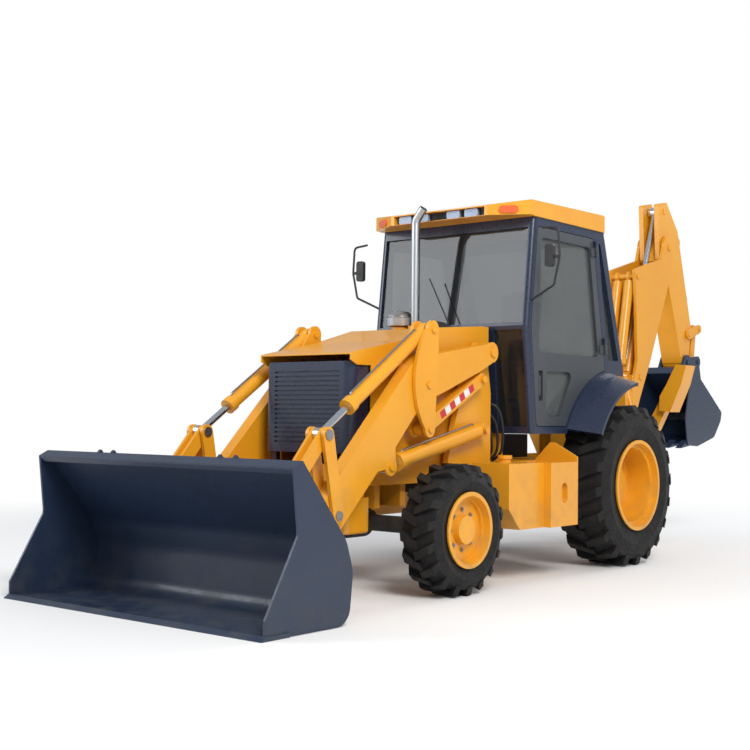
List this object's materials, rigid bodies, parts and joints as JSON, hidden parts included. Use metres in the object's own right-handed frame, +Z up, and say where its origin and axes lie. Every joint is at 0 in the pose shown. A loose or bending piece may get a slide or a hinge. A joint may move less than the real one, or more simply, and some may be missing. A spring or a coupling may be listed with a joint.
{
  "type": "backhoe loader",
  "caption": "Wheeled backhoe loader with a parallel-lift front bucket, glazed cab, folded rear boom, dipper and bucket, and folding stabiliser legs.",
  "frame": {"origin": "on the ground, at the middle of the machine's length and width", "axes": "+Z up, +Y to the rear, +X to the machine's left"},
  "size_m": [2.331, 7.7811, 3.3981],
  "materials": {
    "black_plastic": "matt",
    "cab_glass": "tinted",
    "chassis_yellow": "gloss paint",
    "chrome": "polished",
    "dark_grey": "satin paint",
    "lamp_lens": "clear",
    "navy_paint": "satin dark blue paint",
    "seat_fabric": "woven",
    "steel": "bare steel",
    "tyre_rubber": "matt rubber"
  },
  "bodies": {
    "chassis": {"chassis_frame": "chassis_yellow", "engine_block": "dark_grey", "hood": "chassis_yellow", "grille": "navy_paint", "exhaust_and_precleaner": "steel", "front_axle": "dark_grey", "rear_axle": "dark_grey", "cab_frame": "navy_paint", "cab_glass": "cab_glass", "cab_roof": "chassis_yellow", "roof_lamps": "lamp_lens", "mirrors": "black_plastic", "operator_seat": "seat_fabric", "cab_controls": "black_plastic", "step_boxes": "chassis_yellow", "rear_frame": "chassis_yellow"},
    "front_knuckle_left": {"front_knuckle_left": "dark_grey"},
    "front_wheel_left": {"front_rim_left": "chassis_yellow", "front_tyre_left": "tyre_rubber"},
    "rear_wheel_left": {"rear_rim_left": "chassis_yellow", "rear_tyre_left": "tyre_rubber"},
    "door_left": {"cab_door_left": "dark_grey"},
    "leg_left": {"stabiliser_leg_left": "chassis_yellow"},
    "leg_barrel_left": {"stabiliser_barrel_left": "chassis_yellow"},
    "leg_rod_left": {"stabiliser_rod_left": "chrome"},
    "front_knuckle_right": {"front_knuckle_right": "dark_grey"},
    "front_wheel_right": {"front_rim_right": "chassis_yellow", "front_tyre_right": "tyre_rubber"},
    "rear_wheel_right": {"rear_rim_right": "chassis_yellow", "rear_tyre_right": "tyre_rubber"},
    "door_right": {"cab_door_right": "dark_grey"},
    "leg_right": {"stabiliser_leg_right": "chassis_yellow"},
    "leg_barrel_right": {"stabiliser_barrel_right": "chassis_yellow"},
    "leg_rod_right": {"stabiliser_rod_right": "chrome"},
    "loader_arms": {"loader_arms": "chassis_yellow"},
    "levelling_levers": {"levelling_levers": "chassis_yellow"},
    "levelling_links": {"levelling_links": "chassis_yellow"},
    "bucket_hinge_pins": {"bucket_hinge_pins": "steel"},
    "loader_bucket": {"loader_bucket": "navy_paint"},
    "guide_link_pins": {"guide_link_pins": "steel"},
    "bucket_links": {"bucket_links": "chassis_yellow"},
    "king_post": {"king_post": "chassis_yellow"},
    "hoe_boom": {"hoe_boom": "chassis_yellow"},
    "hoe_dipper": {"hoe_dipper": "chassis_yellow"},
    "hoe_bucket": {"hoe_bucket": "navy_paint"},
    "guide_links": {"guide_links": "chassis_yellow", "guide_top_pins": "steel"},
    "tilt_barrels": {"tilt_cylinder_barrels": "chassis_yellow"},
    "tilt_rods": {"tilt_cylinder_rods": "chrome"},
    "lift_barrels": {"lift_cylinder_barrels": "chassis_yellow"},
    "lift_rods": {"lift_cylinder_rods": "chrome"},
    "boom_barrel": {"boom_cylinder_barrel": "chassis_yellow"},
    "boom_rod": {"boom_cylinder_rod": "chrome"},
    "dipper_barrel": {"dipper_cylinder_barrel": "chassis_yellow"},
    "dipper_rod": {"dipper_cylinder_rod": "chrome"},
    "curl_barrel": {"hoe_bucket_cylinder_barrel": "chassis_yellow"},
    "curl_rod": {"hoe_bucket_cylinder_rod": "chrome"},
    "tipping_levers": {"hoe_tipping_levers": "chassis_yellow"},
    "hoe_link": {"hoe_bucket_link": "chassis_yellow"}
  },
  "joints": [
    {"name": "steering_left", "type": "hinge", "parent": "chassis", "child": "front_knuckle_left", "pos_m": [0.7, -1.7706, 0.444], "axis": [0, 0, 1], "range_deg": [-32, 32]},
    {"name": "steering_right", "type": "hinge", "parent": "chassis", "child": "front_knuckle_right", "pos_m": [-0.7, -1.7706, 0.444], "axis": [0, 0, 1], "range_deg": [-32.5, 32.5]},
    {"name": "front_wheel_left_spin", "type": "hinge", "parent": "front_knuckle_left", "child": "front_wheel_left", "pos_m": [0.88, -1.7706, 0.444], "axis": [1, 0, 0], "continuous": true},
    {"name": "rear_wheel_left_spin", "type": "hinge", "parent": "chassis", "child": "rear_wheel_left", "pos_m": [0.812, 0.6164, 0.655], "axis": [1, 0, 0], "continuous": true},
    {"name": "door_left", "type": "hinge", "parent": "chassis", "child": "door_left", "pos_m": [0.761, 0.5514, 1.7], "axis": [0, -0.1921, 0.9814], "range_deg": [0, 80]},
    {"name": "front_wheel_right_spin", "type": "hinge", "parent": "front_knuckle_right", "child": "front_wheel_right", "pos_m": [-0.88, -1.7706, 0.444], "axis": [1, 0, 0], "continuous": true},
    {"name": "rear_wheel_right_spin", "type": "hinge", "parent": "chassis", "child": "rear_wheel_right", "pos_m": [-0.812, 0.6164, 0.655], "axis": [1, 0, 0], "continuous": true},
    {"name": "door_right", "type": "hinge", "parent": "chassis", "child": "door_right", "pos_m": [-0.761, 0.5514, 1.7], "axis": [0, 0.1921, -0.9814], "range_deg": [0, 80]},
    {"name": "loader_lift", "type": "hinge", "parent": "chassis", "child": "loader_arms", "pos_m": [0, -0.8956, 1.683], "axis": [-1, 0, 0], "range_deg": [0, 75]},
    {"name": "levelling_lever_turn", "type": "hinge", "parent": "loader_arms", "child": "levelling_levers", "pos_m": [0, -1.7226, 1.42], "axis": [1, 0, 0], "range_deg": [0, 53.23]},
    {"name": "levelling_link_turn", "type": "hinge", "parent": "chassis", "child": "levelling_links", "pos_m": [0, -1.0116, 1.479], "axis": [-1, 0, 0], "range_deg": [0, 83.22]},
    {"name": "bucket_levelling", "type": "hinge", "parent": "loader_arms", "child": "bucket_hinge_pins", "pos_m": [0, -3.0056, 0.3], "axis": [1, 0, 0], "range_deg": [0, 49.92]},
    {"name": "bucket_tilt", "type": "hinge", "parent": "bucket_hinge_pins", "child": "loader_bucket", "pos_m": [0, -3.0056, 0.3], "axis": [1, 0, 0], "range_deg": [-38, 68]},
    {"name": "guide_pin_turn", "type": "hinge", "parent": "loader_arms", "child": "guide_link_pins", "pos_m": [0, -2.6626, 0.566], "axis": [1, 0, 0], "range_deg": [0, 37.92]},
    {"name": "guide_link_turn", "type": "hinge", "parent": "guide_link_pins", "child": "guide_links", "pos_m": [0, -2.6626, 0.566], "axis": [1, 0, 0], "range_deg": [-28.62, 50.82]},
    {"name": "tilt_cylinder_turn", "type": "hinge", "parent": "levelling_levers", "child": "tilt_barrels", "pos_m": [0, -1.6756, 1.809], "axis": [1, 0, 0], "range_deg": [-50.38, 0]},
    {"name": "tilt_cylinder_stroke", "type": "slide", "parent": "tilt_barrels", "child": "tilt_rods", "axis": [0, -0.8312, -0.5559], "range_m": [-0.25204, 0.44943]},
    {"name": "bucket_link_turn", "type": "hinge", "parent": "tilt_rods", "child": "bucket_links", "pos_m": [0, -2.7656, 1.08], "axis": [1, 0, 0], "range_deg": [-6.96, 12.06]},
    {"name": "lift_cylinder_turn", "type": "hinge", "parent": "chassis", "child": "lift_barrels", "pos_m": [0, -0.9706, 1.105], "axis": [-1, 0, 0], "range_deg": [0, 68.75]},
    {"name": "lift_cylinder_stroke", "type": "slide", "parent": "lift_barrels", "child": "lift_rods", "axis": [0, -0.9776, -0.2106], "range_m": [0, 0.69001]},
    {"name": "hoe_swing", "type": "hinge", "parent": "chassis", "child": "king_post", "pos_m": [0, 1.8294, 0.82], "axis": [0, 0, 1], "range_deg": [-80, 80]},
    {"name": "boom_lift", "type": "hinge", "parent": "king_post", "child": "hoe_boom", "pos_m": [0, 2.0894, 1.08], "axis": [-1, 0, 0], "range_deg": [0, 100]},
    {"name": "dipper_reach", "type": "hinge", "parent": "hoe_boom", "child": "hoe_dipper", "pos_m": [0, 2.9594, 2.935], "axis": [1, 0, 0], "range_deg": [0, 110]},
    {"name": "hoe_bucket_curl", "type": "hinge", "parent": "hoe_dipper", "child": "hoe_bucket", "pos_m": [0, 3.4144, 1.79], "axis": [1, 0, 0], "range_deg": [-45, 50]},
    {"name": "boom_cylinder_turn", "type": "hinge", "parent": "hoe_boom", "child": "boom_barrel", "pos_m": [0, 2.2794, 2.58], "axis": [1, 0, 0], "range_deg": [-9.1, 0]},
    {"name": "boom_cylinder_stroke", "type": "slide", "parent": "boom_barrel", "child": "boom_rod", "axis": [0, -0.2056, -0.9786], "range_m": [0, 0.45404]},
    {"name": "dipper_cylinder_turn", "type": "hinge", "parent": "hoe_boom", "child": "dipper_barrel", "pos_m": [0, 2.3394, 1.6], "axis": [1, 0, 0], "range_deg": [0, 10.2]},
    {"name": "dipper_cylinder_stroke", "type": "slide", "parent": "dipper_barrel", "child": "dipper_rod", "axis": [0, 0.3279, 0.9447], "range_m": [-0.55492, 0]},
    {"name": "bucket_cylinder_turn", "type": "hinge", "parent": "hoe_dipper", "child": "curl_barrel", "pos_m": [0, 3.3214, 3.032], "axis": [1, 0, 0], "range_deg": [-1.3, 1.2]},
    {"name": "bucket_cylinder_stroke", "type": "slide", "parent": "curl_barrel", "child": "curl_rod", "axis": [0, 0.3983, -0.9173], "range_m": [-0.20708, 0.18657]},
    {"name": "tipping_lever_turn", "type": "hinge", "parent": "hoe_dipper", "child": "tipping_levers", "pos_m": [0, 3.4644, 2.08], "axis": [1, 0, 0], "range_deg": [-47.55, 52.8]},
    {"name": "hoe_link_turn", "type": "hinge", "parent": "tipping_levers", "child": "hoe_link", "pos_m": [0, 3.7044, 2.15], "axis": [1, 0, 0], "range_deg": [-41.8, 37.65]},
    {"name": "stabiliser_left", "type": "hinge", "parent": "chassis", "child": "leg_left", "pos_m": [0.42, 1.6594, 0.69], "axis": [0, -1, 0], "range_deg": [-112, 0]},
    {"name": "stabiliser_cylinder_left_turn", "type": "hinge", "parent": "chassis", "child": "leg_barrel_left", "pos_m": [0.33, 1.6594, 1.54], "axis": [0, -1, 0], "range_deg": [0, 1.32]},
    {"name": "stabiliser_cylinder_left_stroke", "type": "slide", "parent": "leg_barrel_left", "child": "leg_rod_left", "axis": [0.3072, 0, -0.9516], "range_m": [0, 0.42638]},
    {"name": "stabiliser_right", "type": "hinge", "parent": "chassis", "child": "leg_right", "pos_m": [-0.42, 1.6594, 0.69], "axis": [0, 1, 0], "range_deg": [-112, 0]},
    {"name": "stabiliser_cylinder_right_turn", "type": "hinge", "parent": "chassis", "child": "leg_barrel_right", "pos_m": [-0.33, 1.6594, 1.54], "axis": [0, 1, 0], "range_deg": [0, 1.32]},
    {"name": "stabiliser_cylinder_right_stroke", "type": "slide", "parent": "leg_barrel_right", "child": "leg_rod_right", "axis": [-0.3072, 0, -0.9516], "range_m": [0, 0.42638]}
  ],
  "couplings": [
    {"joint": "steering_right", "follows": "steering_left", "ratio": 1},
    {"joint": "levelling_lever_turn", "follows": "loader_lift", "ratio": 0.703},
    {"joint": "levelling_link_turn", "follows": "loader_lift", "ratio": 1.103},
    {"joint": "bucket_levelling", "follows": "loader_lift", "ratio": 0.659},
    {"joint": "guide_pin_turn", "follows": "loader_lift", "ratio": 0.499},
    {"joint": "guide_link_turn", "follows": "bucket_tilt", "ratio": 0.74},
    {"joint": "tilt_cylinder_turn", "follows": "loader_lift", "ratio": -0.665},
    {"joint": "tilt_cylinder_stroke", "follows": "bucket_tilt", "m_per_rad": 0.377},
    {"joint": "bucket_link_turn", "follows": "bucket_tilt", "ratio": 0.17},
    {"joint": "lift_cylinder_turn", "follows": "loader_lift", "ratio": 0.91},
    {"joint": "lift_cylinder_stroke", "follows": "loader_lift", "m_per_rad": 0.5256},
    {"joint": "boom_cylinder_turn", "follows": "boom_lift", "ratio": -0.088},
    {"joint": "boom_cylinder_stroke", "follows": "boom_lift", "m_per_rad": 0.259},
    {"joint": "dipper_cylinder_turn", "follows": "dipper_reach", "ratio": 0.09},
    {"joint": "dipper_cylinder_stroke", "follows": "dipper_reach", "m_per_rad": -0.288},
    {"joint": "bucket_cylinder_turn", "follows": "hoe_bucket_curl", "ratio": -0.02},
    {"joint": "bucket_cylinder_stroke", "follows": "hoe_bucket_curl", "m_per_rad": -0.235},
    {"joint": "tipping_lever_turn", "follows": "hoe_bucket_curl", "ratio": 1.05},
    {"joint": "hoe_link_turn", "follows": "hoe_bucket_curl", "ratio": -0.83},
    {"joint": "stabiliser_cylinder_left_turn", "follows": "stabiliser_left", "ratio": -0.01},
    {"joint": "stabiliser_cylinder_left_stroke", "follows": "stabiliser_left", "m_per_rad": -0.2171},
    {"joint": "stabiliser_cylinder_right_turn", "follows": "stabiliser_right", "ratio": -0.01},
    {"joint": "stabiliser_cylinder_right_stroke", "follows": "stabiliser_right", "m_per_rad": -0.2171}
  ]
}
